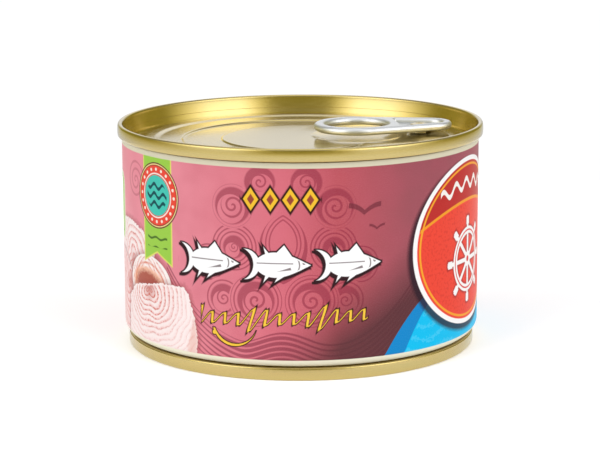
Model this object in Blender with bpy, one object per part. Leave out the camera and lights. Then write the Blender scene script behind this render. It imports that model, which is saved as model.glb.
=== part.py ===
"""A shut tuna can with a necked-in foot, double-seamed ends and a ring-pull lid.

Units are metres and +Z is up. The origin is the middle of the can's foot, on the
surface that it stands on. The print's front faces -Y.
"""

import math

import bmesh
import bpy
from mathutils import Matrix, Vector

MM = 0.001

# Driving dimensions, over the outside of the can
CAN_HEIGHT = 53.0 * MM
LID_SEAM_RADIUS = 43.35 * MM
BASE_SEAM_RADIUS = 41.4 * MM
BODY_RADIUS = 42.3 * MM
SEAM_LENGTH = 3.0 * MM
SEAM_THICKNESS = 1.25 * MM

# Each turned piece has this many sides, and neighbours keep this gap
SIDES = 72
GAP = 0.3 * MM

# Body: its wall, and the neck that lets the foot sit in another can's lid
WALL = 0.6 * MM
NECK_ARC_RADIUS = 2.9 * MM
NECK_ARC_ANGLE = math.radians(60)
NECK_FOOT_RADIUS = 40.6 * MM

# Ends: how deep each one reaches into the body, and the groove round its panel
END_DEPTH = 6.2 * MM
END_WALL = 0.4 * MM
CHUCK_WALL_TAPER = 1.0 * MM
CHUCK_WALL_DEPTH = 4.5 * MM
GROOVE_RADIUS = 0.75 * MM

# Lid panel: (radius, depth below the rim) of each level, from the rim inwards
LID_PANEL = (
    (39.3, 4.12),
    (38.6, 4.0),
    (36.2, 3.76),
    (35.6, 3.7),
    (33.9, 3.7),
    (33.3, 3.76),
    (31.9, 4.0),
    (28.4, 4.0),
    (27.5, 4.4),
    (19.3, 4.4),
    (18.3, 3.8),
)

# Base panel: the same, with the depth counted up from the foot
BASE_PANEL = (
    (37.2, 4.1),
    (36.6, 3.9),
    (34.6, 3.9),
    (33.9, 3.4),
    (32.6, 3.4),
    (31.9, 3.9),
    (28.6, 3.9),
    (27.9, 3.4),
    (26.6, 3.4),
    (25.9, 4.3),
)

# Pull tab, on a ray from the can's middle: the ring, the nose and the two windows
TAB_AZIMUTH = math.radians(8.3)
TAB_MID_DEPTH = 1.95 * MM
TAB_THICKNESS = 1.8 * MM
RING_CENTRE = 13.3 * MM
RING_RADIUS = 9.95 * MM
FINGER_HOLE_CENTRE = 13.65 * MM
FINGER_HOLE_RADIUS = 7.4 * MM
NOSE_CENTRE = 31.3 * MM
NOSE_RADIUS = 5.3 * MM
NOSE_RIM = 2.2 * MM
NOSE_WINDOW_START = 22.9 * MM

# The tab's web, with the tongue that the rivet holds
WEB_THICKNESS = 0.4 * MM
WEB_DEPTH = 2.45 * MM
SLOT_RADIUS = 3.0 * MM
SLOT_WIDTH = 0.7 * MM
SLOT_SPAN = math.radians(230)

# Rivet: a boss pressed up from the panel, a shank and a staked head
RIVET_X = 28.9 * MM
BOSS_FOOT_RADIUS = 4.4 * MM
BOSS_TOP_RADIUS = 2.9 * MM
SHANK_RADIUS = 1.3 * MM
HEAD_RADIUS = 2.3 * MM
HEAD_TOP_DEPTH = 1.6 * MM

# Finger well, pressed into the panel below the ring
WELL_RADIUS = 12.6 * MM
WELL_FLOOR_RADIUS = 10.6 * MM
WELL_FLOOR_DEPTH = 4.85 * MM
WELL_CENTRE = 13.7 * MM


def clear_scene():
    for obj in list(bpy.data.objects):
        bpy.data.objects.remove(obj)


def finish_material(name, colour, roughness, metallic):
    made = bpy.data.materials.new(name)
    made.use_nodes = True
    shader = made.node_tree.nodes["Principled BSDF"]
    shader.inputs["Base Color"].default_value = (*colour, 1.0)
    shader.inputs["Roughness"].default_value = roughness
    shader.inputs["Metallic"].default_value = metallic
    return made


def add_object(name, mesh, material=None):
    obj = bpy.data.objects.new(name, mesh)
    bpy.context.scene.collection.objects.link(obj)
    if material:
        mesh.materials.append(material)
    return obj


def shade(obj):
    obj.data.shade_smooth()
    obj.data.set_sharp_from_angle(angle=math.radians(40))


def arc(centre, radius, start_deg, end_deg, steps):
    """Points (radius, height) along an arc, both ends included."""
    points = []
    for step in range(steps + 1):
        angle = math.radians(start_deg + (end_deg - start_deg) * step / steps)
        points.append((centre[0] + radius * math.cos(angle), centre[1] + radius * math.sin(angle)))
    return points


def turned(name, profile, material=None, sides=SIDES):
    """A closed solid turned about Z from an outline that starts and ends on the axis."""
    bm = bmesh.new()
    verts = [bm.verts.new((radius, 0.0, height)) for radius, height in profile]
    edges = [bm.edges.new(pair) for pair in zip(verts, verts[1:])]
    bmesh.ops.spin(
        bm, geom=verts + edges, cent=(0, 0, 0), axis=(0, 0, 1), dvec=(0, 0, 0),
        angle=2 * math.pi, steps=sides, use_merge=True,
    )
    bmesh.ops.remove_doubles(bm, verts=bm.verts, dist=1e-6)
    bmesh.ops.recalc_face_normals(bm, faces=bm.faces)
    mesh = bpy.data.meshes.new(name)
    bm.to_mesh(mesh)
    bm.free()
    return add_object(name, mesh, material)


def combine(target, other, operation):
    """Applies one Boolean to target and removes the other object."""
    modifier = target.modifiers.new(operation.title(), "BOOLEAN")
    modifier.operation = operation
    modifier.solver = "EXACT"
    modifier.object = other
    bpy.context.view_layer.update()
    graph = bpy.context.evaluated_depsgraph_get()
    result = bpy.data.meshes.new_from_object(target.evaluated_get(graph))
    target.modifiers.remove(modifier)
    target.data = result
    bpy.data.objects.remove(other)


def seam_outline(outer_radius, edge):
    """A double seam's section at an end whose rim is at height 0 and whose body side is at edge.

    The points run from the seam's body side, over its face and rim, to the top of its inner wall.
    """
    lip = 0.35 * MM
    rim = SEAM_THICKNESS / 2
    side = math.copysign(1.0, edge)
    top = rim * math.sin(math.radians(78))
    points = [(outer_radius - lip, edge)]
    points += [(r, edge - side * z) for r, z in arc((outer_radius - lip, lip), lip, -60, 0, 2)]
    points += [(r, -side * z) for r, z in arc((outer_radius - rim, -top), rim, 0, 78, 3)]
    points += [(r, -side * z) for r, z in arc((outer_radius - rim, -top), rim, 102, 180, 3)]
    return points


def end_outline(outer_radius, panel):
    """The outline of one end, drawn with its rim at height 0 and its panel below it."""
    inner_radius = outer_radius - SEAM_THICKNESS
    foot_radius = inner_radius - CHUCK_WALL_TAPER
    plug_radius = foot_radius + END_WALL
    points = [(0.0, -END_DEPTH), (plug_radius, -END_DEPTH), (plug_radius, -SEAM_LENGTH)]
    points += seam_outline(outer_radius, -SEAM_LENGTH)
    groove_centre = (foot_radius - GROOVE_RADIUS, -CHUCK_WALL_DEPTH)
    points += arc(groove_centre, GROOVE_RADIUS, 0, -180, 5)
    points += [(radius * MM, -depth * MM) for radius, depth in panel]
    points.append((0.0, points[-1][1]))
    return points


def make_body(material):
    """The printed body, solid because the can is shut, with a socket at each end for its end."""
    base_plug = BASE_SEAM_RADIUS - SEAM_THICKNESS - CHUCK_WALL_TAPER + END_WALL
    foot_z = SEAM_LENGTH + GAP
    top_z = CAN_HEIGHT - SEAM_LENGTH - GAP
    neck_drop = NECK_ARC_RADIUS * math.sin(NECK_ARC_ANGLE)
    neck_centre = (BODY_RADIUS - NECK_ARC_RADIUS, foot_z + 0.2 * MM + neck_drop)
    outline = [(0.0, END_DEPTH + GAP), (base_plug + GAP, END_DEPTH + GAP), (base_plug + GAP, foot_z)]
    outline.append((NECK_FOOT_RADIUS, foot_z))
    outline += arc(neck_centre, NECK_ARC_RADIUS, -math.degrees(NECK_ARC_ANGLE), 0, 5)
    outline += [(BODY_RADIUS, top_z), (BODY_RADIUS - WALL, top_z)]
    outline += [(BODY_RADIUS - WALL, CAN_HEIGHT - END_DEPTH - GAP), (0.0, CAN_HEIGHT - END_DEPTH - GAP)]
    return turned("can_body", outline, material)


def on_tab_ray(distance, height):
    """A point on the tab's ray from the can's axis."""
    return Vector((distance * math.cos(TAB_AZIMUTH), distance * math.sin(TAB_AZIMUTH), height))


def place(obj, distance, height):
    """Moves a piece drawn about its own origin to the tab's ray, turned with it."""
    move = Matrix.Translation(on_tab_ray(distance, height)) @ Matrix.Rotation(TAB_AZIMUTH, 4, "Z")
    obj.data.transform(move)
    return obj


def make_rivet():
    """The boss, shank and head that hold the tab, drawn down to just inside the panel."""
    web_top = CAN_HEIGHT - WEB_DEPTH + WEB_THICKNESS / 2
    web_foot = web_top - WEB_THICKNESS
    outline = [(0.0, CAN_HEIGHT - 4.9 * MM), (BOSS_FOOT_RADIUS, CAN_HEIGHT - 4.9 * MM)]
    outline += [(BOSS_FOOT_RADIUS, CAN_HEIGHT - 4.2 * MM), (BOSS_TOP_RADIUS, web_foot - GAP)]
    outline += [(SHANK_RADIUS, web_foot - GAP), (SHANK_RADIUS, web_top + GAP)]
    outline += [(HEAD_RADIUS, web_top + GAP), (HEAD_RADIUS, CAN_HEIGHT - HEAD_TOP_DEPTH - 0.15 * MM)]
    outline += [(HEAD_RADIUS * 0.8, CAN_HEIGHT - HEAD_TOP_DEPTH), (0.0, CAN_HEIGHT - HEAD_TOP_DEPTH)]
    return place(turned("rivet", outline, sides=32), RIVET_X, 0.0)


def make_well_cutter():
    """A shallow dish with sloping sides."""
    floor = CAN_HEIGHT - WELL_FLOOR_DEPTH
    reach = 3.0 * MM
    slope = (WELL_RADIUS - WELL_FLOOR_RADIUS) / (1.05 * MM)
    outline = [(0.0, floor), (WELL_FLOOR_RADIUS, floor)]
    outline += [(WELL_FLOOR_RADIUS + slope * reach, floor + reach), (0.0, floor + reach)]
    return place(turned("well_cutter", outline, sides=48), WELL_CENTRE, 0.0)


def make_lid(material):
    outline = [(r, z + CAN_HEIGHT) for r, z in end_outline(LID_SEAM_RADIUS, LID_PANEL)]
    lid = turned("lid", outline, material)
    combine(lid, make_well_cutter(), "DIFFERENCE")
    combine(lid, make_rivet(), "UNION")
    return lid


def make_base(material):
    outline = [(r, -z) for r, z in end_outline(BASE_SEAM_RADIUS, BASE_PANEL)]
    return turned("base", outline, material)


def pear(big_centre, big_radius, small_centre, small_radius, count):
    """Points round two circles on the X axis and the straight lines that touch both."""
    lean = math.acos((big_radius - small_radius) / (small_centre - big_centre))
    big_steps = round(count * 0.65)
    small_steps = count - big_steps
    points = []
    for step in range(big_steps + 1):
        angle = lean + (2 * math.pi - 2 * lean) * step / big_steps
        points.append((big_centre + big_radius * math.cos(angle), big_radius * math.sin(angle)))
    for step in range(small_steps + 1):
        angle = -lean + 2 * lean * step / small_steps
        points.append((small_centre + small_radius * math.cos(angle), small_radius * math.sin(angle)))
    return points


def window_outline(inset):
    """The window in the nose: the tab's outline drawn in by inset, cut off by the bridge bar."""
    slope = (RING_RADIUS - NOSE_RADIUS) / (NOSE_CENTRE - RING_CENTRE)
    tip_radius = NOSE_RADIUS - inset
    half_width = tip_radius + (NOSE_CENTRE - NOSE_WINDOW_START) * slope * 1.05
    corner = 1.3 * MM
    points = []
    for step in range(13):
        angle = math.radians(-78 + 156 * step / 12)
        points.append((NOSE_CENTRE + tip_radius * math.cos(angle), tip_radius * math.sin(angle)))
    for sign, start in ((1, 80), (-1, 180)):
        for step in range(5):
            angle = math.radians(start + 100 * step / 4)
            x = NOSE_WINDOW_START + corner + corner * math.cos(angle)
            points.append((x, sign * (half_width - corner) + corner * math.sin(angle)))
    return points


def filled_curve(name, outlines, half_thickness):
    """A flat plate with half-round edges: the first outline is the plate's, the rest are holes."""
    curve = bpy.data.curves.new(name, "CURVE")
    curve.dimensions = "2D"
    curve.fill_mode = "BOTH"
    curve.bevel_depth = half_thickness
    curve.bevel_resolution = 2
    for outline in outlines:
        spline = curve.splines.new("POLY")
        spline.points.add(len(outline) - 1)
        for point, (x, y) in zip(spline.points, outline):
            point.co = (x, y, 0.0, 1.0)
        spline.use_cyclic_u = True
    drawn = add_object(name + "_curve", curve)
    bpy.context.view_layer.update()
    graph = bpy.context.evaluated_depsgraph_get()
    mesh = bpy.data.meshes.new_from_object(drawn.evaluated_get(graph))
    bpy.data.objects.remove(drawn)
    bm = bmesh.new()
    bm.from_mesh(mesh)
    bmesh.ops.remove_doubles(bm, verts=bm.verts, dist=1e-6)
    bmesh.ops.recalc_face_normals(bm, faces=bm.faces)
    bm.to_mesh(mesh)
    bm.free()
    return add_object(name, mesh)


def prism(name, outline, low, high):
    """A straight-sided plate from low to high."""
    bm = bmesh.new()
    face = bm.faces.new([bm.verts.new((x, y, low)) for x, y in outline])
    grown = bmesh.ops.extrude_face_region(bm, geom=[face])
    moved = [item for item in grown["geom"] if isinstance(item, bmesh.types.BMVert)]
    bmesh.ops.translate(bm, verts=moved, vec=(0, 0, high - low))
    bmesh.ops.recalc_face_normals(bm, faces=bm.faces)
    mesh = bpy.data.meshes.new(name)
    bm.to_mesh(mesh)
    bm.free()
    return add_object(name, mesh)


def slot_outline():
    """A band round the rivet, open towards the nose."""
    points = []
    for radius, sign in ((SLOT_RADIUS + SLOT_WIDTH / 2, 1), (SLOT_RADIUS - SLOT_WIDTH / 2, -1)):
        for step in range(17):
            angle = math.pi + sign * SLOT_SPAN * (step / 16 - 0.5)
            points.append((RIVET_X + radius * math.cos(angle), radius * math.sin(angle)))
    return points


def circle_outline(centre, radius_x, radius_y, count):
    turns = [2 * math.pi * step / count for step in range(count)]
    return [(centre + radius_x * math.cos(turn), radius_y * math.sin(turn)) for turn in turns]


def make_tab(material):
    half = TAB_THICKNESS / 2
    hole = FINGER_HOLE_RADIUS + half
    frame = [
        pear(RING_CENTRE, RING_RADIUS - half, NOSE_CENTRE, NOSE_RADIUS - half, 46),
        circle_outline(FINGER_HOLE_CENTRE, hole + 0.2 * MM, hole, 30),
        window_outline(NOSE_RIM - half),
    ]
    tab = filled_curve("pull_tab", frame, half)
    through = (-TAB_THICKNESS, TAB_THICKNESS)
    web_low = TAB_MID_DEPTH - WEB_DEPTH - WEB_THICKNESS / 2
    web = prism("web", window_outline(NOSE_RIM - 1.1 * half), web_low, web_low + WEB_THICKNESS)
    drill = prism("drill", circle_outline(RIVET_X, SHANK_RADIUS + GAP, SHANK_RADIUS + GAP, 20), *through)
    combine(web, drill, "DIFFERENCE")
    combine(web, prism("slot", slot_outline(), *through), "DIFFERENCE")
    combine(tab, web, "UNION")
    tab.data.materials.clear()
    tab.data.materials.append(material)
    return place(tab, 0.0, CAN_HEIGHT - TAB_MID_DEPTH)


def main():
    clear_scene()
    print_finish = finish_material("printed_tinplate", (0.72, 0.22, 0.30), 0.3, 0.0)
    gold = finish_material("gold_lacquer", (0.66, 0.50, 0.20), 0.25, 1.0)
    bright = finish_material("tab_metal", (0.80, 0.82, 0.85), 0.22, 1.0)
    for made in (make_body(print_finish), make_lid(gold), make_base(gold), make_tab(bright)):
        shade(made)


main()
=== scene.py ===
# %% [markdown]
# A ring-pull tuna can
#
# The can is the usual short three-piece kind. Its body is a strip of tinplate, printed flat,
# rolled into a tube and welded up the back. Both ends are gold-lacquered tinplate, hooked over
# the body's flanges and rolled flat in a double seam. The lid carries a riveted ring-pull tab.
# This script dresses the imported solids: it turns finer versions of the body and ends, hems a
# finer tab, and prints the label with shader nodes.

import math

import bmesh
import bpy
from mathutils import Matrix, Vector


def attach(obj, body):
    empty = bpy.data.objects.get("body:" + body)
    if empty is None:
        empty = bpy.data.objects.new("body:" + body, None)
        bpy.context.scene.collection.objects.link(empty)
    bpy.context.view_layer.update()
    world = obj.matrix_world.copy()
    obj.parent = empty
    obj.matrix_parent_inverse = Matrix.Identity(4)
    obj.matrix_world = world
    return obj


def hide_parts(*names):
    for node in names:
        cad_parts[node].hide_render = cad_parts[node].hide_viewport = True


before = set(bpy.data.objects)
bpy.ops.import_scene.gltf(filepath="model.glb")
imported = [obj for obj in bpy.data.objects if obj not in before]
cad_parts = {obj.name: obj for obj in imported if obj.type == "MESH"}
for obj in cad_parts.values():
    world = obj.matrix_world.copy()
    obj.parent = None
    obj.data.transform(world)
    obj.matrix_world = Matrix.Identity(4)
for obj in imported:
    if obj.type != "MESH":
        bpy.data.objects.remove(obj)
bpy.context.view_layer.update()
print("nodes:", sorted(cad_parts))

# %% [markdown]
# Sizes
#
# All lengths below are in millimetres, and only the last step of each piece turns them into
# metres. The seams, the wall and the tab's place are the solids' own, so the pieces line up
# with what MuJoCo collides with.

# %% Name the sizes
MM = 0.001
HEIGHT = 53.0
LID_SEAM_R = 43.35
BASE_SEAM_R = 41.4
BODY_R = 42.3
SEAM_LENGTH, SEAM_THICKNESS = 3.0, 1.25
END_DEPTH = 6.2
WALL_FLARE, PLUG_LIP, GAP = 1.0, 0.4, 0.3
TURN_STEPS = 320
TAB_AZIMUTH = math.radians(8.3)
RING_X, RING_R = 13.3, 9.95
HOLE_X, HOLE_R = 13.65, 7.4
NOSE_X, NOSE_R, NOSE_RIM = 31.3, 5.3, 2.2
WINDOW_X = 22.9
RIVET_X, WELL_X = 28.9, 13.7
TAB_DEPTH, TAB_THICK = 1.95, 1.8


# %% [markdown]
# Turning and smoothing
#
# A can end is drawn in a press whose tools were themselves turned on a lathe, so nearly every
# surface here is a section spun round the Z axis. `arc` draws the rounded bits of a section.
# `turned` spins a section that starts and ends on the axis, which closes the skin by itself, and
# `keep` makes the result an object. The spin meets its own start, so the doubled points there are
# merged and the faces turned outwards again. `smooth` eases a step from 0 to 1.


# %% Helpers for turned pieces
def arc(r, z, radius, start, end, steps):
    """Points along an arc of a section, with angles in degrees from the +r direction."""
    turns = [math.radians(start + (end - start) * i / steps) for i in range(steps + 1)]
    return [(r + radius * math.cos(t), z + radius * math.sin(t)) for t in turns]


def keep(bm, name, sharp=50):
    """Turns a bmesh into a smooth-shaded object that rides on the can's one body."""
    bmesh.ops.remove_doubles(bm, verts=bm.verts, dist=1e-7)
    bmesh.ops.recalc_face_normals(bm, faces=bm.faces)
    mesh = bpy.data.meshes.new(name)
    bm.to_mesh(mesh)
    bm.free()
    mesh.shade_smooth()
    mesh.set_sharp_from_angle(angle=math.radians(sharp))
    piece = bpy.data.objects.new(name, mesh)
    bpy.context.scene.collection.objects.link(piece)
    print(name, len(mesh.polygons), "faces")
    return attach(piece, "root")


def turned(outline, steps=TURN_STEPS):
    """Spins a section given as (radius, height) pairs in millimetres."""
    bm = bmesh.new()
    verts = [bm.verts.new((r * MM, 0, z * MM)) for r, z in outline]
    edges = [bm.edges.new(pair) for pair in zip(verts, verts[1:])]
    bmesh.ops.spin(
        bm, geom=verts + edges, cent=(0, 0, 0), axis=(0, 0, 1), dvec=(0, 0, 0),
        angle=math.tau, steps=steps, use_merge=True,
    )
    bmesh.ops.remove_doubles(bm, verts=bm.verts, dist=1e-7)
    return bm


def smooth(t):
    """Eases from 0 to 1 while t goes from 0 to 1, and stays level on both sides."""
    t = min(max(t, 0.0), 1.0)
    return t * t * (3 - 2 * t)


print("a quarter of the way through a step:", smooth(0.25))


# %% [markdown]
# The two ends' sections
#
# Working inwards from the outside, an end has the seam's rolled face, the rounded rim, the
# chuck wall that the seaming tool pressed against, and a narrow countersink groove. The seam's
# face bulges by a tenth of a millimetre and the wall bows out a little between its ends: the
# solids leave these out, but a mirror-like surface shows them as soft bands of light and dark.


# %% Draw the seam's section
def seam_section(outer_r):
    """From the seam's lower edge over its slightly barrelled face and its rim, at height 0."""
    lip, rim, lean = 0.35, 0.594, 8
    s, c = math.sin(math.radians(lean)), math.cos(math.radians(lean))
    low, high = lip * (1 - s) - SEAM_LENGTH, -rim * (1 - s)
    wide = (high - low) / 2 / s
    edge = outer_r - wide * (1 - c)
    points = arc(edge - c * lip, lip - SEAM_LENGTH, lip, -75, -lean, 6)
    points += arc(outer_r - wide, (low + high) / 2, wide, 1.5 - lean, lean - 1.5, 8)
    return points + arc(edge - c * rim, -rim, rim, lean, 180, 20)


print("points in the seam's section:", len(seam_section(LID_SEAM_R)))

# %% [markdown]
# The panel inside the groove carries shallow rings. They let it bulge while the can is cooked and
# then pull it back. A panel is given here as a list of flats, and a soft step joins each flat to
# the next. The points lie close together in the steps and further apart on the flats, because
# only the steps bend.


# %% Draw the panel's section and the whole end's
def panel_depth(r, flats):
    """The panel's depth at a radius. Each flat is (outer radius, inner radius, depth)."""
    depth = flats[0][2]
    for (_, start, before), (end, _, after) in zip(flats, flats[1:]):
        if r < start:
            depth = before + (after - before) * smooth((start - r) / (start - end))
    return depth


def ring_radii(edge, flats):
    """Radii at which the panel is drawn, from its edge inwards: close together in the steps."""
    radii, at = [], edge
    spacing, in_step = 0.45, 8
    for (_, start, _), (end, _, _) in zip(flats, [*flats[1:], (0.0, 0.0, 0.0)]):
        coarse = max(2, round((at - start) / spacing))
        radii += [at + (start - at) * k / coarse for k in range(1, coarse + 1)]
        if end > 0:
            radii += [start + (end - start) * k / in_step for k in range(1, in_step + 1)]
        at = end
    return radii[:-1]


def end_section(outer_r, flats):
    """A whole end, with its underside flat and hidden in the body."""
    foot_r = outer_r - SEAM_THICKNESS - WALL_FLARE
    plug_r = foot_r + PLUG_LIP
    points = [(0, -END_DEPTH), (plug_r, -END_DEPTH), (plug_r, -SEAM_LENGTH)]
    points += seam_section(outer_r)
    wall_top, wall_foot, bow = -0.6, -4.5, 0.21
    flare = points[-1][0] - foot_r
    for k in range(1, 11):
        down = k / 10
        r = foot_r + flare * (1 - down) * (1 + bow * down)
        points.append((r, wall_top + (wall_foot - wall_top) * down))
    groove_r, crown = 0.75, 0.22
    points += arc(foot_r - groove_r, wall_foot, groove_r, 0, -180, 14)
    edge = foot_r - 2 * groove_r
    points += arc(edge - crown, -flats[0][2] - crown, crown, 0, 90, 5)
    points += [(r, -panel_depth(r, flats)) for r in ring_radii(edge - crown, flats)]
    return points + [(0, -panel_depth(0, flats))]


# %% [markdown]
# The lid
#
# The lid is spun first, with a raised ring near its edge, two steps down and a raised middle.
# Round the tab a press has raised the panel. A finger well is pressed in below the ring so that
# a fingertip can get under it, and a boss on a low pad carries the rivet. All of these are off
# the axis, so the spun panel is moved up or down afterwards, point by point, by one depth field.
# A fine score line just inside the groove is where the lid tears open.

# %% Give the lid's rings and its depth field
LID_FLATS = [
    (39.5, 39.2, 4.75),
    (39.0, 38.2, 4.7),
    (36.9, 34.9, 3.95),
    (33.2, 28.3, 4.25),
    (27.7, 18.9, 4.55),
    (18.4, 0.0, 4.15),
]
PANEL_R = 39.35
REST_DEPTH, PAD_DEPTH, BOSS_DEPTH = 3.95, 3.55, 2.98
WELL_DEPTH, WELL_EDGE_DEPTH, WELL_FLOOR_R, WELL_R = 4.7, 3.75, 7.6, 12.9
SCORE_R, SCORE_DEPTH, SCORE_REACH = 38.7, 0.08, 0.32


def tab_point(x):
    """The point on the lid that lies that far along the tab's middle line."""
    return x * math.cos(TAB_AZIMUTH), x * math.sin(TAB_AZIMUTH)


def raised(depth, level, cover):
    """Lifts the panel to a level, as far as the cover from 0 to 1 says. It never sinks it."""
    return depth + (min(depth, level) - depth) * cover


def pressed_depth(x, y, depth):
    """The panel's depth once the well, the pad, the boss and the score line are in it."""
    from_axis = math.hypot(x, y)
    inner = smooth((37.4 - from_axis) / 2.0)
    from_middle = math.dist((x, y), tab_point(20.0))
    depth = raised(depth, REST_DEPTH, smooth((22.0 - from_middle) / 9.0) * inner)
    from_well = math.dist((x, y), tab_point(WELL_X))
    if from_well < WELL_R:
        climb = smooth((from_well - WELL_FLOOR_R) / (WELL_R - WELL_FLOOR_R))
        depth = max(depth, WELL_DEPTH + (WELL_EDGE_DEPTH - WELL_DEPTH) * climb)
    from_boss = math.dist((x, y), tab_point(RIVET_X))
    across = y * math.cos(TAB_AZIMUTH) - x * math.sin(TAB_AZIMUTH)
    from_pad = math.sqrt(from_boss**2 - 0.45 * across**2)
    depth = raised(depth, PAD_DEPTH, smooth((9.6 - from_pad) / 6.0) * inner)
    depth = raised(depth, BOSS_DEPTH, smooth((3.9 - from_boss) / 1.2))
    return depth + SCORE_DEPTH * smooth(1 - abs(from_axis - SCORE_R) / SCORE_REACH)


print("depth in the well and on the boss:", WELL_DEPTH, pressed_depth(*tab_point(RIVET_X), 4.25))

# %% Turn the lid, then press in its well, boss and score
bm = turned(end_section(LID_SEAM_R, LID_FLATS))
for vert in bm.verts:
    r = vert.co.xy.length / MM
    if -4.9 < vert.co.z / MM < -3.0 and r < PANEL_R:
        x, y = vert.co.xy / MM
        vert.co.z = -pressed_depth(x, y, -vert.co.z / MM) * MM
bmesh.ops.translate(bm, verts=bm.verts, vec=(0, 0, HEIGHT * MM))
lid = keep(bm, "lid_end")
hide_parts("lid")

# %% [markdown]
# The base
#
# The base is the same kind of end on a smaller circle, because the body is necked in to meet it.
# That lets the foot of one can sit inside the lid of the can below it. Its panel has two raised
# rings and a plain middle.

# %% Turn the base and flip it over
BASE_FLATS = [
    (37.5, 37.3, 4.1),
    (36.6, 34.6, 3.9),
    (33.9, 32.6, 3.4),
    (31.9, 28.6, 3.9),
    (27.9, 26.6, 3.4),
    (25.9, 0.0, 4.3),
]

bm = turned(end_section(BASE_SEAM_R, BASE_FLATS))
bmesh.ops.scale(bm, verts=bm.verts, vec=(1, 1, -1))
base = keep(bm, "base_end")
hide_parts("base")

# %% [markdown]
# The body
#
# The body runs straight up from its neck to the lid's seam. The neck is rolled in with a soft
# arc. The wall's top and bottom are tucked up inside the two seams, so what is left to see is a
# thin dark line of shadow under each.

# %% Turn the body
NECK_R, NECK_TURN, NECK_FOOT_R = 2.9, 60, 40.6
WALL = 0.6


def body_section():
    """The body as one solid: its floor and its top each leave room for an end's plug."""
    foot, top = SEAM_LENGTH + GAP, HEIGHT - SEAM_LENGTH - GAP
    floor_z, ceiling_z = END_DEPTH + GAP, HEIGHT - END_DEPTH - GAP
    socket_r = BASE_SEAM_R - SEAM_THICKNESS - WALL_FLARE + PLUG_LIP + GAP
    neck_z = foot + 0.2 + NECK_R * math.sin(math.radians(NECK_TURN))
    points = [(0, floor_z), (socket_r, floor_z), (socket_r, foot), (NECK_FOOT_R, foot)]
    points += arc(BODY_R - NECK_R, neck_z, NECK_R, -NECK_TURN, 0, 18)
    points += [(BODY_R, z) for z in range(10, 50, 10)]
    points += [(BODY_R, top), (BODY_R - WALL, top)]
    return points + [(BODY_R - WALL, ceiling_z), (0, ceiling_z)]


body = keep(turned(body_section()), "printed_body")
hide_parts("can_body")

# %% [markdown]
# The pull tab
#
# A tab is stamped from a strip, and all its edges are curled under so that it is stiff and has no
# cut edge. What shows is a plate with fat rounded rims about its outline, its finger hole and
# its nose window. The outlines come first, as lists of points on the tab's own middle line.


# %% Draw the tab's outlines
def pear(count):
    """The tab's outline: the ring's circle and the nose's, with straight sides touching both."""
    lean = math.acos((RING_R - NOSE_R) / (NOSE_X - RING_X))
    edge = TAB_THICK / 2
    points = []
    for i in range(count + 1):
        t = lean + (math.tau - 2 * lean) * i / count
        points.append((RING_X + (RING_R - edge) * math.cos(t), (RING_R - edge) * math.sin(t)))
    for i in range(count // 2 + 1):
        t = -lean + 2 * lean * i / (count // 2)
        points.append((NOSE_X + (NOSE_R - edge) * math.cos(t), (NOSE_R - edge) * math.sin(t)))
    return points


def window(inset, corner=1.3):
    """The nose window: the outline drawn in by inset, and cut off square by the bridge."""
    slope = (RING_R - NOSE_R) / (NOSE_X - RING_X)
    tip = NOSE_R - inset
    half = tip + (NOSE_X - WINDOW_X) * slope * 1.05
    points = []
    for i in range(33):
        t = math.radians(-78 + 156 * i / 32)
        points.append((NOSE_X + tip * math.cos(t), tip * math.sin(t)))
    for side, start in ((1, 80), (-1, 180)):
        for i in range(13):
            t = math.radians(start + 100 * i / 12)
            across = side * (half - corner) + corner * math.sin(t)
            points.append((WINDOW_X + corner + corner * math.cos(t), across))
    return points


def ellipse(x, along, across, count):
    """An ellipse on the tab's middle line, given by its half sizes."""
    turns = [math.tau * i / count for i in range(count)]
    return [(x + along * math.cos(t), across * math.sin(t)) for t in turns]


print("points round the tab:", len(pear(96)), "and round its window:", len(window(NOSE_RIM)))

# %% [markdown]
# A flat curve filled between its outlines and given a round bevel makes a hemmed plate in one go:
# the bevel runs round every edge, the holes' too. The evaluated curve goes into a bmesh, so it
# is a mesh before it is set in its place.


# %% Helpers for hemmed plates
def hemmed_plate(outlines, half_thick, round_steps):
    """A flat plate with half-round rims. The first outline is the plate's, the rest are holes."""
    curve = bpy.data.curves.new("outline", "CURVE")
    curve.dimensions, curve.fill_mode = "2D", "BOTH"
    curve.bevel_depth = half_thick * MM
    curve.bevel_resolution = round_steps
    for outline in outlines:
        spline = curve.splines.new("POLY")
        spline.points.add(len(outline) - 1)
        for point, (x, y) in zip(spline.points, outline):
            point.co = (x * MM, y * MM, 0, 1)
        spline.use_cyclic_u = True
    drawn = bpy.data.objects.new("outline", curve)
    bpy.context.scene.collection.objects.link(drawn)
    graph = bpy.context.evaluated_depsgraph_get()
    bm = bmesh.new()
    bm.from_mesh(drawn.evaluated_get(graph).to_mesh())
    bpy.data.objects.remove(drawn)
    return bm


def on_lid(bm, x=0.0, depth=0.0):
    """Moves a piece drawn about its own origin to its place along the tab."""
    px, py = tab_point(x)
    move = Matrix.Translation((px * MM, py * MM, (HEIGHT - depth) * MM))
    bmesh.ops.transform(bm, verts=bm.verts, matrix=move @ Matrix.Rotation(TAB_AZIMUTH, 4, "Z"))
    return bm


# %% Hem the tab's frame
TAB_SHARP = 35
half = TAB_THICK / 2
hole = HOLE_R + half
frame_outlines = [pear(96), ellipse(HOLE_X, hole + 0.2, hole, 96), window(NOSE_RIM - half)]
bm = hemmed_plate(frame_outlines, half, 6)
tab_frame = keep(on_lid(bm, 0, TAB_DEPTH), "tab_frame", sharp=TAB_SHARP)
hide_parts("pull_tab")

# %% [markdown]
# The web in the window is one thickness of sheet. A C-shaped slot round the rivet leaves a tongue,
# which bends when the ring is lifted so that the nose can press down on the lid.

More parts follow.
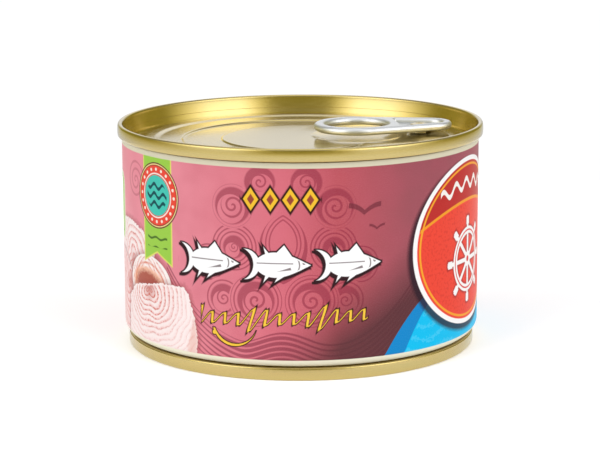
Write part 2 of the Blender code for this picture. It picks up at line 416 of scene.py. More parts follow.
# %% Cut the web and its tongue
SLOT_R, SLOT_W, SLOT_SPAN = 3.0, 0.7, math.radians(230)
WEB_DEPTH, WEB_HALF, SHANK_R = 2.42, 0.17, 1.6
slot = []
for radius, way in ((SLOT_R + SLOT_W / 2, 1), (SLOT_R - SLOT_W / 2, -1)):
    for i in range(41):
        t = math.pi + way * SLOT_SPAN * (i / 40 - 0.5)
        slot.append((RIVET_X + radius * math.cos(t), radius * math.sin(t)))
web_outlines = [window(NOSE_RIM - 1.0), ellipse(RIVET_X, SHANK_R, SHANK_R, 48), slot]
bm = hemmed_plate(web_outlines, WEB_HALF, 2)
tab_web = keep(on_lid(bm, 0, WEB_DEPTH), "tab_web", sharp=TAB_SHARP)

# %% [markdown]
# The rivet is part of the panel: metal drawn up through the tongue and staked flat. Its head is a
# low button with a small dimple from the staking punch.

# %% Turn the rivet
rivet_outline = [(0, -3.2), (1.3, -3.2), (1.3, -2.2), (2.1, -2.2)]
rivet_outline += arc(2.0, -1.95, 0.25, -60, 75, 8)
rivet_outline += [(1.6, -1.66), (1.3, -1.64), (1.1, -1.68), (0.8, -1.8), (0.5, -1.84), (0, -1.85)]
bm = turned(rivet_outline, steps=64)
rivet = keep(on_lid(bm, RIVET_X), "rivet_head")

# %% [markdown]
# Shader maths in Python
#
# The label and the metals are worked out at each point of a surface by shader nodes. Wiring these
# by hand is slow to write and hard to read. `Wire` wraps one socket so that ordinary Python
# arithmetic adds the nodes, and its `node` method adds a node of any other kind.


# %% Wrap a socket
class Wire:
    """A shader socket for use in Python expressions. Each operation adds one node."""

    def __init__(self, socket):
        self.socket = socket

    def node(self, kind, *inputs, out=0, **settings):
        """Adds a node to this socket's tree, with its enabled inputs filled in order."""
        tree = self.socket.id_data
        made = tree.nodes.new("ShaderNode" + kind)
        for name, value in settings.items():
            setattr(made, name, value)
        for slot, value in zip([s for s in made.inputs if s.enabled], inputs):
            if isinstance(value, Wire):
                tree.links.new(value.socket, slot)
            elif value is not None:
                slot.default_value = value
        return Wire([s for s in made.outputs if s.enabled][out])

    def math(self, operation, *others):
        return self.node("Math", self, *others, operation=operation)

    def __add__(self, other):
        return self.math("ADD", other)

    def __sub__(self, other):
        return self.math("SUBTRACT", other)

    def __mul__(self, other):
        return self.math("MULTIPLY", other)

    def __truediv__(self, other):
        return self.math("DIVIDE", other)

    def __rsub__(self, other):
        return self.node("Math", other, self, operation="SUBTRACT")

    def __rtruediv__(self, other):
        return self.node("Math", other, self, operation="DIVIDE")

    def __neg__(self):
        return self * -1.0

    def __abs__(self):
        return self.math("ABSOLUTE")

    __radd__, __rmul__ = __add__, __mul__

    def vector(self, operation, *others):
        return self.node("VectorMath", self, *others, operation=operation)

    def ramp(self, start, end, low=0.0, high=1.0):
        """Runs from low at start to high at end, and stays there beyond."""
        return self.node("MapRange", self, start, end, low, high)

    def apart(self):
        """The X and Y parts of a vector."""
        split = self.node("SeparateXYZ", self)
        return split, Wire(split.socket.node.outputs[1])


# %% [markdown]
# Every finish on the can is a Principled shader. `new_material` makes one and hands back a `fill`
# function that takes a plain value or a `Wire` for a socket. All patterns are drawn in Object
# coordinates, so they stay on the piece. Colours are written as a screen shows them, and `rgb`
# turns them into the linear values that a shader works in.


# %% Helpers for materials
def rgb(red, green, blue):
    """A colour given in the 0 to 255 steps of a screen, as the linear values of a shader."""
    parts = [v / 255 for v in (red, green, blue)]
    return (*[v / 12.92 if v < 0.04 else ((v + 0.055) / 1.055) ** 2.4 for v in parts], 1.0)


def new_material(name, colour, roughness, metallic):
    """A material with its Principled shader, a way to set it, and the object coordinates."""
    made = bpy.data.materials.new(name)
    made.use_nodes = True
    shader = made.node_tree.nodes["Principled BSDF"]

    def fill(socket, value):
        if isinstance(value, Wire):
            made.node_tree.links.new(value.socket, shader.inputs[socket])
        else:
            shader.inputs[socket].default_value = value

    fill("Base Color", colour)
    fill("Roughness", roughness)
    fill("Metallic", metallic)
    coords = made.node_tree.nodes.new("ShaderNodeTexCoord")
    return made, fill, Wire(coords.outputs["Object"])


print("mid grey as a shader has it:", round(rgb(128, 128, 128)[0], 3))

# %% [markdown]
# Lacquered and plain metal
#
# Tinplate keeps the faint streaks of the rolling mill, all in one direction across a whole end.
# The gold colour is a clear lacquer over the tin, so it is a tinted metal under a clear coat. The
# coat is what turns the flat panel pale when it is seen at a low angle. The tab is bare metal.

# %% Make the metals
gold, fill, place = new_material("gold_lacquer", rgb(222, 196, 112), 0.2, 1.0)
streaks = place.vector("MULTIPLY", (60.0, 1500.0, 1500.0))
grain = streaks.node("TexNoise", streaks, None, 1.0, 3.0, 0.6)
clouds = place.node("TexNoise", place, None, 260.0, 2.0, 0.5)
fill("Roughness", 0.13 + 0.09 * grain + 0.08 * clouds)
lacquer = (rgb(232, 210, 136), rgb(210, 187, 114))
fill("Base Color", clouds.node("Mix", clouds.ramp(0.3, 0.7), *lacquer, data_type="RGBA"))
fill("Coat Weight", 1.0)
fill("Coat Roughness", 0.12)
fill("Normal", grain.node("Bump", 0.06, 0.00004, None, grain))
lid.data.materials.append(gold)
base.data.materials.append(gold)
rivet.data.materials.append(gold)

silver, fill, place = new_material("tab_metal", rgb(236, 238, 240), 0.4, 1.0)
streaks = place.node("VectorRotate", place, None, None, -TAB_AZIMUTH, rotation_type="Z_AXIS")
streaks = streaks.vector("MULTIPLY", (120.0, 2600.0, 2600.0))
grain = streaks.node("TexNoise", streaks, None, 1.0, 3.0, 0.6)
fill("Roughness", 0.34 + 0.12 * grain)
fill("Normal", grain.node("Bump", 0.08, 0.00004, None, grain))
tab_frame.data.materials.append(silver)
tab_web.data.materials.append(silver)
print("metals:", gold.name, silver.name)

# %% [markdown]
# Drawing the print
#
# The label is printed on the flat sheet before the body is rolled, so it is drawn here on a sheet
# too. Its x is the distance round the can from the middle of the front, its y the height above
# the table, both in millimetres. Each shape is a distance field, negative inside its edge, so
# the smaller of two fields joins their shapes and the larger keeps what they share.


# %% Join, cut and outline shapes
def either(*shapes):
    """Inside any of the shapes."""
    joined = shapes[0]
    for shape in shapes[1:]:
        joined = joined.math("MINIMUM", shape)
    return joined


def both(*shapes):
    """Inside all of the shapes."""
    joined = shapes[0]
    for shape in shapes[1:]:
        joined = joined.math("MAXIMUM", shape)
    return joined


def stroke(shape, width):
    """A line of that width along the shape's edge."""
    return abs(shape) - width / 2


def near_whole(value):
    """The distance from a number to the nearest whole one."""
    return value.math("PINGPONG", 0.5)


def to_line(value, pitch):
    """The distance to the nearest of a row of lines that lie a pitch apart."""
    return near_whole(value / pitch) * pitch


# %% [markdown]
# The plain shapes that the print is made of each take the sheet, or a sheet that was turned or
# folded first, and the place where they lie on it. A spiral comes from a row of circles: adding
# the bearing to the distance makes each circle end a pitch further out than it began.


# %% Draw plain shapes
def disc(at, x, y, radius):
    """A round disc. With a radius of 0 it is the distance from a point."""
    return at.vector("DISTANCE", (x, y, 0)) - radius


def turn(at, x, y, degrees):
    """The sheet turned about a point, so that what is drawn on it turns the other way."""
    angle = math.radians(degrees)
    return at.node("VectorRotate", at, (x, y, 0), None, angle, rotation_type="Z_AXIS")


def oval(at, x, y, along, across):
    """An ellipse, given by its half sizes."""
    scaled = at.vector("MULTIPLY_ADD", (1 / along, 1 / across, 0), (-x / along, -y / across, 0))
    return (scaled.vector("LENGTH") - 1) * min(along, across)


def block(at, x, y, wide, high, corner):
    """A rectangle with rounded corners, given by its half sizes."""
    out = at.vector("SUBTRACT", (x, y, 0)).vector("ABSOLUTE")
    out = out.vector("SUBTRACT", (wide - corner, high - corner, 0)).vector("MAXIMUM", (0, 0, 0))
    return out.vector("LENGTH") - corner


def bearing(at, x, y):
    """The direction from a point, in turns from -0.5 to 0.5."""
    across, up = at.vector("SUBTRACT", (x, y, 0)).apart()
    return up.math("ARCTAN2", across) / math.tau


def facets(at, corners):
    """A convex shape with straight sides, given by its corners anticlockwise."""
    sides = []
    for (ax, ay), (bx, by) in zip(corners, corners[1:] + corners[:1]):
        reach = math.hypot(bx - ax, by - ay)
        nx, ny = (by - ay) / reach, (ax - bx) / reach
        sides.append(at.vector("DOT_PRODUCT", (nx, ny, 0)) - (nx * ax + ny * ay))
    return both(*sides)


def curl(at, x, y, radius, pitch, width, hand=1, start=0.0):
    """A flat spiral with its eye at a point, wound inside a circle."""
    reach = at.vector("DISTANCE", (x, y, 0))
    wound = reach / pitch - hand * bearing(at, x, y) + start
    return both(near_whole(wound) * pitch - width / 2, reach - radius)


# %% [markdown]
# A press lays one ink over another. `Print` holds the colour so far. Each `ink` call covers a
# shape with one more colour, and each `wash` lays a colour by a strength that may change over
# the sheet.


# %% Lay inks
class Print:
    """The label's colour, built up ink by ink."""

    def __init__(self, colour):
        self.colour = colour

    def ink(self, shape, tint, soft=0.16, strength=1.0):
        """Lays a tint inside a shape. The edge is soft millimetres wide."""
        cover = shape.ramp(soft / 2, -soft / 2, 0.0, strength)
        self.colour = cover.node("Mix", cover, self.colour, tint, data_type="RGBA")

    def wash(self, cover, tint):
        """Lays a tint by a strength from 0 to 1."""
        self.colour = cover.node("Mix", cover, self.colour, tint, data_type="RGBA")


# %% [markdown]
# The label's ground
#
# The ground runs from a light rose on the left to a deep plum at the lower right, between two
# cream lines. It is a chain of washes, each over its own stretch of x, so that every stretch can
# be set to its own colour. Two noises at different scales keep it from looking airbrushed: soft
# clouds a few centimetres wide, and the fine grain of the printing screen.

# %% Start the label with its ground
label, fill, place = new_material("printed_tinplate", rgb(230, 120, 140), 0.3, 0.0)
split = place.node("SeparateXYZ", place)
east, north, height = [Wire(split.socket.node.outputs[i]) for i in range(3)]
x = east.math("ARCTAN2", -north) * BODY_R
y = height / MM
sheet = x.node("CombineXYZ", x, y, 0.0)
grain = sheet.node("TexNoise", sheet.vector("MULTIPLY", (1.6, 1.6, 1)), None, 1.0, 2.0, 0.7)
cloud = sheet.node("TexNoise", sheet.vector("MULTIPLY", (0.07, 0.07, 1)), None, 1.0, 2.0, 0.5)
fleck = sheet.node("TexNoise", sheet.vector("MULTIPLY", (0.5, 0.5, 1)), None, 1.0, 3.0, 0.6)

light_rose, rose = rgb(236, 146, 159), rgb(211, 106, 120)
art = Print(x.node("Mix", x.ramp(-34.0, -4.0), light_rose, rose, data_type="RGBA"))
art.wash(x.ramp(-4.0, 8.0), rgb(184, 80, 90))
art.wash(x.ramp(9.0, 27.0), rgb(152, 78, 88))
art.wash(x.ramp(66.0, 104.0), rgb(224, 130, 144))
art.wash(cloud.ramp(0.35, 0.75, 0.0, 0.22) * x.ramp(-70.0, -30.0, 0.3, 1.0), rgb(190, 84, 104))
art.wash(grain.ramp(0.4, 0.7, 0.0, 0.16), rgb(240, 150, 164))
print("label nodes so far:", len(label.node_tree.nodes))

# %% [markdown]
# The scrolled ornament
#
# Over the ground goes a traditional scrolled ornament in a darker rose. It is made of
# volutes, each a spiral under a crescent with thin rings echoing round it. They overlap like
# scales, the later ones over the earlier. Only one side is described: the sheet is folded at the
# axis by taking the absolute value of x, so each shape is printed twice. Each volute below is a
# place, the reach of its rings, the size of its core, the way it winds and where it starts.

# %% Draw the scrolled ornament
AXIS, RING_PITCH, RING_LINE = -3.9, 0.9, 0.34
ORNAMENT_TINT = rgb(142, 40, 64)
mirrored = x.node("CombineXYZ", abs(x - AXIS), y, 0.0)
VOLUTES = [
    (17.6, 26.6, 4.4, 2.2, -1, 0.1),
    (11.3, 30.5, 5.6, 1.6, 1, 0.3),
    (11.6, 39.8, 4.9, 3.2, 1, 0.1),
    (5.2, 45.4, 3.9, 2.5, -1, 0.4),
    (13.9, 18.6, 4.6, 2.3, 1, 0.6),
    (6.3, 18.6, 6.0, 3.3, -1, 0.3),
]
nothing_yet = disc(mirrored, 0.0, -50.0, 1.0)
ornament = nothing_yet


def overlay(shape, cover):
    """Draws a shape over what the ornament holds so far inside a cover."""
    return either(both(ornament, 0.35 - cover), both(shape, cover))


bud = disc(mirrored, -3.4, 30.6, 8.8)
hole = disc(mirrored, -3.1, 31.7, 7.8)
leaf = either(both(bud, -hole), stroke(hole + 0.8, 0.3), stroke(hole + 1.6, 0.3))
for vx, vy, reach, core, hand, start in VOLUTES:
    middle = disc(mirrored, vx, vy, 0.0)
    rings = both(to_line(middle - core, RING_PITCH) - RING_LINE / 2, core + 1.0 - middle)
    inner_edge = disc(mirrored, vx + 0.35 * hand, vy - 0.75, 0.0)
    crescent = both(middle - core - 0.95, core + 0.1 - inner_edge)
    spiral = curl(mirrored, vx, vy, core - 0.4, core / 2.1, core / 6.2, hand, start)
    ornament = overlay(either(rings, crescent, spiral), middle - reach)
ornament = overlay(leaf, bud)
art.ink(curl(sheet, -47.0, 42.0, 4.6, 1.7, 0.55, -1, 0.2), rgb(150, 46, 70), strength=0.35)
art.ink(ornament, ORNAMENT_TINT, soft=0.14, strength=0.62)
print("volutes on each side:", len(VOLUTES))

# %% [markdown]
# Under the ornament a run of combed waves follows the foot. They are one row of lines. The height
# that they are drawn at swells towards the sides and in a hump at the axis, and a slow sine bends
# them and changes their width. The dusk at the lower right is washed over them.

# %% Comb the waves along the foot
WAVE_PITCH = 1.25
from_middle = (abs(x + 2.0) - 9.0).math("MAXIMUM", 0.0)
hump = (abs(x - AXIS) * 0.3).math("MINIMUM", math.pi).math("COSINE")
swell = y - 0.05 * from_middle.math("POWER", 1.85) - 1.3 * hump
crests = near_whole(swell / WAVE_PITCH + 0.3 * (x * 0.11).math("SINE")) * WAVE_PITCH
combed = crests - 0.32 + 0.12 * (x * 0.19).math("SINE")
waves = both(combed, swell - 10.2, 1.0 - swell, abs(x - 2.0) - 36.0)
art.ink(waves, rgb(124, 36, 60), soft=0.2, strength=0.62)
dusk = (0.55 * x + 10.0 - y).ramp(-6.0, 7.0) * x.ramp(-12.0, 9.0) * x.ramp(78.0, 58.0)
art.wash(dusk * 0.9, rgb(88, 50, 54))
print("waves lie", WAVE_PITCH, "mm apart")

# %% [markdown]
# The serving picture
#
# On the left lies a picture of the food. It is drawn as slices of pale fish, plain shapes with the
# curved flakes of the meat. Each flake is a band of distance from an eye, which sits off the
# slice's middle as the bone does in a real steak, and shades from white to rose. The slices are
# laid from the back to the front, and the noise makes their edges ragged.


# %% Lay the slices
def slice_of_fish(shape, eye, pitch, reach, tone):
    """One slice: a soft shade round it, the flesh, and flakes that fade out from the eye."""
    art.ink(shape - 0.6, rgb(150, 62, 62), soft=1.6, strength=0.6)
    art.ink(shape, tone)
    far = sheet.vector("DISTANCE", (*eye, 0))
    lobes = 0.7 * (bearing(sheet, *eye) * math.tau * 3).math("SINE")
    bent = far + lobes + cloud * 3.0 + fleck * 0.9
    fold = bent / pitch
    inside = shape.ramp(-0.2, -0.6) * far.ramp(reach * 0.45, reach, 1.0, 0.25)
    shade = (fold - fold.math("FLOOR")).ramp(0.45, 1.0, 0.0, 0.9)
    art.wash(shade * inside, rgb(240, 164, 160))
    line = (near_whole(fold) * pitch).ramp(0.24, 0.06) * fleck.ramp(0.38, 0.55) * inside
    art.wash(line * 0.9, rgb(206, 88, 56))
    art.wash(far.ramp(3.4, 0.6, 0.0, 0.7) * inside, rgb(196, 84, 66))


ragged = (fleck - 0.5) * 1.2
back = oval(turn(sheet, -52, 25, 8), -52.5, 24.6, 14.0, 7.6) + ragged
slice_of_fish(back, (-49.0, 22.0), 1.5, 13.0, rgb(254, 240, 238))
left = oval(sheet, -60.0, 12.0, 12.0, 12.0) + ragged
slice_of_fish(left, (-52.0, 17.0), 1.9, 14.0, rgb(252, 222, 220))
fold_over = oval(turn(sheet, -41.0, 19.0, -8), -41.4, 18.8, 8.9, 6.6)
slice_of_fish(fold_over, (-42.0, 16.8), 1.25, 12.0, rgb(255, 246, 242))
hollow = oval(turn(sheet, -41.0, 19.0, 4), -42.0, 18.7, 7.0, 3.7)
art.ink(hollow, rgb(250, 196, 168), 0.8)
art.ink(hollow + 0.9 + ragged, rgb(172, 82, 66), 1.2, 0.95)
art.ink(stroke(fold_over + 1.9, 0.34), rgb(226, 116, 70), 0.5, 0.8)
STEAK = [
    (-53.0, 4.0), (-25.4, 4.0), (-24.8, 8.0), (-25.6, 13.0), (-27.4, 18.6),
    (-28.8, 19.8), (-36.0, 19.6), (-48.0, 17.4), (-52.0, 14.0),
]
steak = facets(sheet, STEAK) + ragged * 0.8
slice_of_fish(steak, (-41.0, 17.6), 1.35, 13.0, rgb(255, 240, 238))
cut_side = -26.6 - x + 0.25 * (y - 10.0) - ragged
art.ink(both(steak, cut_side), rgb(232, 168, 150), 0.9, 0.5)
print("label nodes so far:", len(label.node_tree.nodes))

# %% [markdown]
# The ribbon and the badge
#
# A green ribbon with a swallow-tailed foot hangs over the picture, with a round badge on it. The
# badge is plain: a red ring of beads round a teal disc with three waves.

# %% Hang the ribbon and its badge
RIBBON_X, BADGE_Y = -37.4, 39.8
BEADS, BEAD_RING_R = 20, 6.05
BADGE_RINGS = [
    (7.6, rgb(96, 44, 48)), (7.3, rgb(250, 224, 150)), (7.05, rgb(120, 40, 40)),
    (6.85, rgb(236, 76, 58)), (5.2, rgb(250, 240, 232)), (4.9, rgb(214, 84, 72)),
    (4.65, rgb(70, 200, 182)),
]
tail = abs(x - RIBBON_X)
ribbon = both(tail - 5.0, 26.9 - 0.5 * tail - y)
art.ink(ribbon - 0.4, rgb(226, 224, 110))
art.ink(ribbon, rgb(158, 208, 76))
ripple = near_whole(y / 2.3 + 0.1 * (x * 1.7).math("SINE")) * 2.3 - 0.26
art.ink(both(ripple, abs(y - 29.6) - 1.9, tail - 3.7), rgb(58, 96, 34), strength=0.9)
badge = disc(sheet, RIBBON_X, BADGE_Y, 0.0)
for radius, tint in BADGE_RINGS:
    art.ink(badge - radius, tint)
bead = near_whole(bearing(sheet, RIBBON_X, BADGE_Y) * BEADS) * (6.0 * math.tau / BEADS)
beads = bead.node("CombineXYZ", bead, badge - BEAD_RING_R, 0.0).vector("LENGTH") - 0.36
art.ink(beads, rgb(252, 236, 220))
ripple = y - BADGE_Y + 0.55 * ((x - RIBBON_X) * 1.9).math("SINE")
ripples = both(to_line(ripple, 2.1) - 0.42, abs(ripple) - 3.2, badge - 3.7)
art.ink(ripples, rgb(14, 78, 84))
print("badge rings:", len(BADGE_RINGS), "and beads:", BEADS)

# %% [markdown]
# Three tuna
#
# Across the front swim three plain white tuna, with a dark keyline and a drop shadow. One fish is
# drawn in a cell, and the cell is repeated by taking off the whole pitches from the distance
# along the row. The fish's back is a sine curve, its tail is a crescent left between two circles,
# and its fins are straight-sided. The keyline and the shadow are the same shape, grown.

# %% Swim the fish
FISH_COUNT, FISH_PITCH, FISH_FROM, FISH_Y = 3, 16.2, -29.6, 26.8
FINS = [
    [(3.4, 1.9), (1.6, 4.5), (-1.0, 1.9)],
    [(-0.9, 1.5), (-3.0, 4.0), (-2.3, 1.1)],
    [(-0.7, -1.5), (-2.2, -1.1), (-3.1, -4.0)],
    [(2.6, -1.9), (0.3, -2.3), (-0.5, -3.9)],
]


def fish(dx, dy, grow):
    """The tuna from the side, moved by dx and dy and grown, and the cell each is drawn in."""
    row = x - (FISH_FROM + dx)
    along = row - (row / FISH_PITCH).math("FLOOR") * FISH_PITCH - FISH_PITCH / 2
    up = y - (FISH_Y + dy)
    cell = row.node("CombineXYZ", along, up, 0.0)
    back = (along.ramp(-5.4, 7.5).math("POWER", 0.72) * math.pi).math("SINE") * 2.85
    flank = both(abs(up) - back, along - 7.5, -5.2 - along) * 0.85
    stalk = both(abs(up) - 0.5, along + 2.0, -5.2 - along)
    tail_fin = both(disc(cell, -7.4, 0.0, 3.45), 3.9 - disc(cell, -9.25, 0.0, 0.0))
    comb = to_line(along, 0.85) - 0.28
    finlets = both(abs(up) - 1.5 - 0.22 * along, abs(along + 3.6) - 1.5, comb)
    shape = either(flank, stalk, tail_fin, finlets, *[facets(cell, fin) for fin in FINS])
    return both(shape - grow, 0.05 - row, row + 0.05 - FISH_COUNT * FISH_PITCH), cell


shadow, _ = fish(-0.4, -0.5, 0.42)
art.ink(shadow, rgb(44, 20, 26), soft=0.3)
outlined, _ = fish(0.0, 0.0, 0.34)
art.ink(outlined, rgb(48, 22, 28))
school, cell = fish(0.0, 0.0, 0.0)
art.ink(school, rgb(255, 255, 255))
along, up = cell.apart()
gill = both(stroke(disc(cell, 2.6, 0, 2.4), 0.3), 3.6 - along)
fin = facets(cell, [(3.0, -0.5), (0.0, -1.5), (3.2, -1.1)])
lateral = both(abs(up - 0.35) - 0.13, along - 3.6, -4.6 - along)
marks = both(either(gill, disc(cell, 6.0, 0.45, 0.36), fin, lateral), school + 0.25)
art.ink(marks, rgb(70, 36, 44), strength=0.8)
print("label nodes so far:", len(label.node_tree.nodes))

# %% [markdown]
# Above the fish is a row of gold lozenges. A lozenge is where the two distances from its middle,
# each as a share of its half width and half height, add up to less than one.

# %% String the lozenges
LOZENGE_PITCH, LOZENGE_Y = 4.45, 41.5
row = x + 13.4
lozenge_x = abs(row - (row / LOZENGE_PITCH).math("FLOOR") * LOZENGE_PITCH - LOZENGE_PITCH / 2)
facet = (lozenge_x / 1.75 + abs(y - LOZENGE_Y) / 2.6 - 1) * 1.45
in_row = abs(x + 4.5) - 8.9
art.ink(both(facet - 0.5, in_row - 0.3), rgb(50, 22, 20), soft=0.3)
art.ink(both(facet, in_row), rgb(240, 190, 50))
art.ink(both(facet + 0.75, in_row), rgb(150, 70, 50))
print("lozenges:", round(2 * 8.9 / LOZENGE_PITCH))

# %% [markdown]
# Below the fish runs a pen flourish in gold. It is a leaning sine wave whose height swells and
# falls. The distance to a steep curve is less than the drop straight down to it, so the offset is
# divided by the curve's own steepness. The nib is wider on the down strokes, as a pen's is.

# %% Draw the flourish
FLOURISH_Y = 14.6
leaning = x - 0.5 * (y - FLOURISH_Y)
rise = 1.1 + 1.5 * (leaning * 0.21 + 0.6).math("SINE").math("POWER", 8.0)
ride = leaning * 2.0
offset = y - FLOURISH_Y - 0.03 * x - rise * ride.math("SINE")
steep = rise * ride.math("COSINE") * 2.0
pen = 0.11 + 0.17 * steep.ramp(0.5, -1.5)
nib = abs(offset) / (1 + steep.math("POWER", 2.0)).math("SQRT") - pen
nib = both(nib, abs(x + 4.2) - 19.4)
tail_ring = disc(sheet, -15.4, 13.2, 5.4)
inner_ring = disc(sheet, -15.1, 13.7, 5.4)
swash = both(tail_ring, -inner_ring, y - 11.6)
flourish = either(nib, swash, disc(sheet, -20.2, 10.6, 0.5))
art.ink(flourish - 0.24, rgb(52, 22, 22))
art.ink(flourish, rgb(246, 200, 66))
print("label nodes so far:", len(label.node_tree.nodes))

# %% [markdown]
# The sea and the seal
#
# On the right a blue sea rises from the foot in two bands, each a parabola with a flat top, with
# lines of foam in the lighter one.

# %% Fill the sea
shore = (abs(x - 62.0) - 24.0).math("MAXIMUM", 0.0).math("POWER", 2.0)
crest = y - 19.6 + 0.0425 * shore
art.ink(crest, rgb(10, 138, 206))
inner_crest = y - 18.2 + 0.075 * shore
art.ink(inner_crest, rgb(0, 196, 246))
foam = to_line(y + 0.9 * (x * 0.45).math("SINE") + fleck * 3.0, 3.1) - 0.2
art.ink(both(foam, inner_crest + 0.8), rgb(110, 222, 255), 0.8, 0.5)
print("label nodes so far:", len(label.node_tree.nodes))

# %% [markdown]
# Over the sea stands a plain oval seal in two reds, with a white edge, a gold line and a soft
# shadow. One curve, the banner's foot, parts the darker red from the lighter, and the row of
# waves above it follows the same curve.

# %% Set the seal over the sea
SEAL_X, SEAL_Y, SEAL_WIDE, SEAL_HIGH = 49.0, 27.4, 22.0, 19.6
oval_edge = oval(sheet, SEAL_X, SEAL_Y, SEAL_WIDE, SEAL_HIGH)
cast = oval(sheet, SEAL_X - 0.9, SEAL_Y - 0.8, SEAL_WIDE + 0.6, SEAL_HIGH + 0.6)
art.ink(cast, rgb(40, 22, 36), soft=1.0, strength=0.9)
art.ink(oval_edge, rgb(255, 253, 252))
art.ink(oval_edge + 1.1, rgb(242, 74, 55))
art.ink(both((0.6 - fleck) * 6, oval_edge + 2.6), rgb(206, 44, 40), 1.2, 0.4)
banner_foot = y - 36.9 + 0.012 * (x - SEAL_X).math("POWER", 2.0)
art.ink(both(-banner_foot, oval_edge + 1.1), rgb(192, 46, 42))
art.ink(both(abs(banner_foot) - 0.35, oval_edge + 1.3), rgb(248, 160, 40))
art.ink(stroke(oval_edge + 1.9, 0.5), rgb(250, 168, 46))
sea_row = banner_foot - 4.0 + 1.1 * (x * 1.15).math("SINE")
art.ink(both(abs(sea_row) - 0.6, abs(x - SEAL_X) - 13.0), rgb(252, 246, 240))
print("label nodes so far:", len(label.node_tree.nodes))

# %% [markdown]
# In the seal is a ship's wheel. Its eight spokes are one spoke: the bearing times eight is folded
# at each whole number, which turns every spoke onto the first.

# %% Turn the wheel
WHEEL_Y, SPOKES, WHEEL_RIM_R = 22.8, 8, 6.8
hub = disc(sheet, SEAL_X, WHEEL_Y, 0.0)
spoke_turn = near_whole(bearing(sheet, SEAL_X, WHEEL_Y) * SPOKES) * (math.tau / SPOKES)
spokes = both(spoke_turn * hub - 0.5, hub - 10.2, 1.0 - hub)
grips = both(spoke_turn * hub - 0.85, hub - 10.0, 8.2 - hub)
wheel = either(hub - 1.8, stroke(hub - WHEEL_RIM_R, 1.7), spokes, grips)
art.ink(wheel - 0.4, rgb(160, 24, 30), soft=0.5, strength=0.8)
art.ink(wheel, rgb(255, 252, 250))
art.ink(either(hub - 0.7, stroke(hub - WHEEL_RIM_R, 0.35)), rgb(220, 50, 44))
print("spokes:", SPOKES)

# %% [markdown]
# Round the back
#
# The photograph doesn't show the back. The rose ground carries on round it, with a bare green
# panel. Two gulls fly over the front's dusk. They and the cream borders are laid last, over all
# the rest.

# %% Finish the back, the gulls and the borders
PANEL_X, PANEL_Y = -84.0, 34.0
BORDER_TOP, BORDER_FOOT = 48.5, 4.95
panel = block(sheet, PANEL_X, PANEL_Y, 27.0, 7.6, 3.0)
art.ink(panel - 0.5, rgb(240, 238, 214))
art.ink(panel, rgb(190, 222, 146))
art.ink(stroke(panel + 1.4, 0.35), rgb(120, 168, 70))
art.ink(both(abs(y - PANEL_Y) - 2.6, panel + 3.4), rgb(214, 234, 178))
gulls = []
for gx, gy, span in ((14.4, 38.2, 2.2), (17.4, 34.4, 1.1)):
    wing = abs(x - gx - 0.12 * (y - gy))
    lift = y - gy - 0.9 * wing + 0.26 / span * wing.math("POWER", 2.0)
    gulls.append(both(abs(lift) - 0.26 * span, wing - span * 1.75))
art.ink(either(*gulls), rgb(112, 42, 56), strength=0.75)
art.ink(BORDER_TOP - y, rgb(222, 216, 190))
# The foot border is laid paler than the top one. This is a painted brightening that offsets the
# shade falling on it under the neck and the base's seam.
art.ink(y - BORDER_FOOT, rgb(250, 246, 222))
print("the print runs from", BORDER_FOOT, "to", BORDER_TOP, "mm")

# %% [markdown]
# The strip along the weld is never printed, so that the welding current can pass: it is bare
# tinplate with a fine raised line of weld down its middle. The inks are then turned into the
# paint's own colour. They were chosen as they are to be seen under these lights, which are a
# little brighter than white paint needs, so all of them are scaled down together.

# %% Leave the weld bare and fill the shader
WELD_STRIP, LIGHT_SCALE = 3.2, 0.85
seam_x = BODY_R * math.pi - abs(x)
art.ink(seam_x - WELD_STRIP, rgb(206, 206, 204))
art.ink(seam_x - 0.45, rgb(120, 120, 122), soft=0.5)
art.wash(grain.ramp(0.4, 0.7, 0.0, 0.02), rgb(255, 240, 236))
print("label nodes:", len(label.node_tree.nodes))

fill("Base Color", art.colour.vector("MULTIPLY", (LIGHT_SCALE,) * 3))
fill("Metallic", seam_x.ramp(WELD_STRIP + 0.1, WELD_STRIP - 0.1))
fill("Roughness", 0.28 + 0.08 * grain)
fill("Specular IOR Level", 0.06)
weld = seam_x.ramp(0.6, 0.2)
fill("Normal", weld.node("Bump", 0.25, 0.00008, None, weld))
body.data.materials.append(label)

# %% [markdown]
# The stage
#
# The can stands on a round sheet of opal board that glows a little, as a light table does. The
# glow keeps the floor white right up to the can's foot, and leaves a soft shadow under it.

# %% Lay the floor
bm = bmesh.new()
bmesh.ops.create_circle(bm, cap_ends=True, segments=96, radius=0.23)
mesh = bpy.data.meshes.new("floor")
bm.to_mesh(mesh)
bm.free()
floor = bpy.data.objects.new("floor", mesh)
bpy.context.scene.collection.objects.link(floor)
paper, fill, _ = new_material("paper", rgb(250, 250, 250), 0.9, 0.0)
fill("Specular IOR Level", 0.0)
fill("Emission Color", (1, 1, 1, 1))
fill("Emission Strength", 0.22)
floor.data.materials.append(paper)
print("floor:", len(floor.data.vertices), "corners")

# %% [markdown]
# The light
#
# The photograph was made on a bright white sweep, with a wide soft light on each side of the camera
# and the dim room between them. That dim gap gives the lid's wall its deep gold middle, and the
# lights give it the bright patches on either side. Real lights of this kind have soft edges, so
# both are drawn into the world as soft-edged patches of brightness, by the angle from the front
# in degrees and the height from -1 to 1. A ray that has been mirrored twice meets dimmer patches,
# which keeps the recess from flaring. The camera itself sees plain white behind the can.

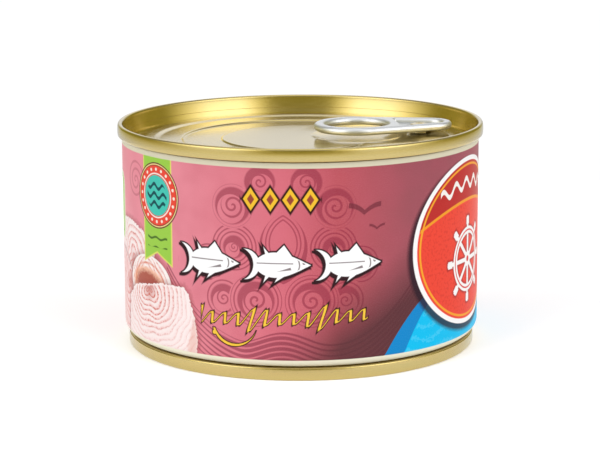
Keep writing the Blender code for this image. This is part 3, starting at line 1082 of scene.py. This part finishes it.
# %% Paint the studio's light
world = bpy.data.worlds.new("studio")
bpy.context.scene.world = world
world.use_nodes = True
nodes = world.node_tree.nodes
direction = Wire(nodes.new("ShaderNodeTexCoord").outputs["Generated"])
split = direction.node("SeparateXYZ", direction)
aside, ahead, up = [Wire(split.socket.node.outputs[i]) for i in range(3)]
from_front = abs(aside).math("ARCTAN2", -ahead) * (180 / math.pi)
path = nodes.new("ShaderNodeLightPath")
seen, mirrored_ray = Wire(path.outputs["Is Camera Ray"]), Wire(path.outputs["Is Glossy Ray"])
twice = Wire(path.outputs["Ray Depth"]).ramp(1.4, 1.6)
backdrop = from_front.ramp(150, 171) * up.ramp(0.75, 0.5)
room = 0.27 + backdrop * up.ramp(0.1, 0.35, 0.42, 0.74) + up.ramp(0.8, 0.95, 0.0, 0.7)
beside = from_front.ramp(20, 40) * from_front.ramp(104, 66)
softbox = beside * up.ramp(-0.2, 0.0) * up.ramp(0.8, 0.66)
room = room + softbox * up.ramp(0.05, 0.32, 1.4, 5.4) * (1 - 0.7 * twice)
below = from_front.ramp(60, 130, 0.84, 0.62)
room = up.node("Mix", up.ramp(0.02, -0.14), room, below, data_type="FLOAT")
low_sky = from_front.ramp(168, 150) * up.ramp(-0.2, 0.0) * up.ramp(0.62, 0.3)
warmth = low_sky * (1 - softbox) * mirrored_ray
tone = warmth.node("Mix", warmth, (1, 1, 1, 1), (1.0, 0.87, 0.1, 1), data_type="RGBA")
strength = seen.node("Mix", seen, room, 1.02, data_type="FLOAT")
tone = seen.node("Mix", seen, tone, (1, 1, 1, 1), data_type="RGBA")
world.node_tree.links.new(strength.socket, nodes["Background"].inputs["Strength"])
world.node_tree.links.new(tone.socket, nodes["Background"].inputs["Color"])
print("world nodes:", len(nodes))

# %% [markdown]
# The camera
#
# The camera's lens, place and tilt were fitted to the outlines of the seams and the body in the
# photograph. It looks a little down, and leans a quarter of a degree.

# %% Place the camera
camera = bpy.data.cameras.new("camera")
camera.lens, camera.sensor_width, camera.clip_start = 134.4, 36.0, 0.01
eye = bpy.data.objects.new("camera", camera)
bpy.context.scene.collection.objects.link(eye)
rise, roll, distance = math.radians(11.3226), math.radians(-0.2473), 0.53688
target = Vector((-0.000157, 0, 0.027455))
forward = Vector((0, math.cos(rise), -math.sin(rise)))
level_up = Vector((0, math.sin(rise), math.cos(rise)))
right = Vector((1, 0, 0)) * math.cos(roll) + level_up * math.sin(roll)
above = level_up * math.cos(roll) - Vector((1, 0, 0)) * math.sin(roll)
facing = Matrix([(*row, 0) for row in zip(right, above, -forward)] + [(0, 0, 0, 1)])
eye.matrix_world = Matrix.Translation(target - forward * distance) @ facing
bpy.context.scene.camera = eye
bpy.context.scene.view_settings.view_transform = "Standard"
print("camera at", [round(v, 4) for v in eye.matrix_world.translation])
